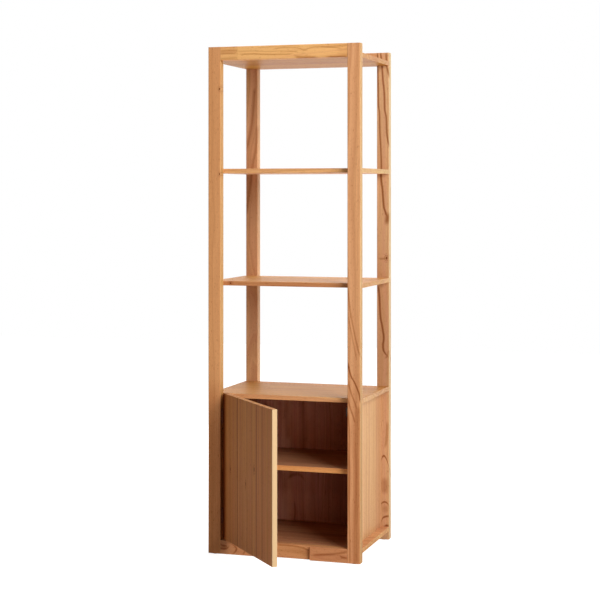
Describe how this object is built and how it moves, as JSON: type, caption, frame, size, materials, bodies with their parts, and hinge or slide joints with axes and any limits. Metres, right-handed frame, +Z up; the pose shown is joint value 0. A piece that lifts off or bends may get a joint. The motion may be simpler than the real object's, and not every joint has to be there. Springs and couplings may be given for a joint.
{
  "type": "shelving unit",
  "caption": "Tall narrow open shelving unit of solid wood: posts and rails with full-width shelves above a small cabinet with an inner shelf and a plain hinged door.",
  "frame": {"origin": "on the floor, at the middle of the footprint of the four posts", "axes": "+Z up; the front and the door face -Y; +X is to the right seen from the front"},
  "size_m": [0.56, 0.7665, 1.8],
  "materials": {
    "solid_wood": "oiled solid wood with visible grain and small knots",
    "dowel_wood": "plain turned hardwood",
    "hinge_steel": "dark bronzed steel, satin",
    "screw_steel": "dark bronzed steel, satin",
    "dark_steel": "blackened steel, satin",
    "catch_plastic": "moulded, dark brown",
    "magnet_iron": "sintered, dull black",
    "glide_plastic": "moulded, dark brown"
  },
  "bodies": {
    "frame": {"front_left_post": "solid_wood", "front_right_post": "solid_wood", "rear_left_post": "solid_wood", "rear_right_post": "solid_wood", "upper_front_rail": "solid_wood", "upper_rear_rail": "solid_wood", "lower_front_rail": "solid_wood", "lower_rear_rail": "solid_wood", "top_board": "solid_wood", "upper_shelf": "solid_wood", "middle_shelf": "solid_wood", "cabinet_top": "solid_wood", "bottom_board": "solid_wood", "left_side_panel": "solid_wood", "right_side_panel": "solid_wood", "cabinet_back": "solid_wood", "inner_shelf": "solid_wood", "top_board_dowels": "dowel_wood", "top_board_rail_dowels": "dowel_wood", "upper_shelf_dowels": "dowel_wood", "middle_shelf_dowels": "dowel_wood", "cabinet_top_dowels": "dowel_wood", "bottom_board_dowels": "dowel_wood", "bottom_board_rail_dowels": "dowel_wood", "upper_rail_dowels": "dowel_wood", "lower_rail_dowels": "dowel_wood", "side_panel_dowels": "dowel_wood", "foot_glides": "glide_plastic", "inner_shelf_supports": "dark_steel", "back_screws": "screw_steel", "lower_hinge_frame_leaf": "hinge_steel", "lower_hinge_pin": "hinge_steel", "upper_hinge_frame_leaf": "hinge_steel", "upper_hinge_pin": "hinge_steel", "hinge_frame_screws": "screw_steel", "catch_housing": "catch_plastic", "catch_magnet": "magnet_iron", "catch_pole_plates": "dark_steel", "catch_screws": "screw_steel"},
    "door": {"door": "solid_wood", "lower_hinge_door_leaf": "hinge_steel", "upper_hinge_door_leaf": "hinge_steel", "hinge_door_screws": "screw_steel", "strike_plate": "dark_steel", "strike_screw": "screw_steel"}
  },
  "joints": [
    {"name": "door_hinge", "type": "hinge", "parent": "frame", "child": "door", "pos_m": [-0.2306, -0.2064, 0.3125], "axis": [0, 0, -1], "range_deg": [-49, 71]}
  ]
}
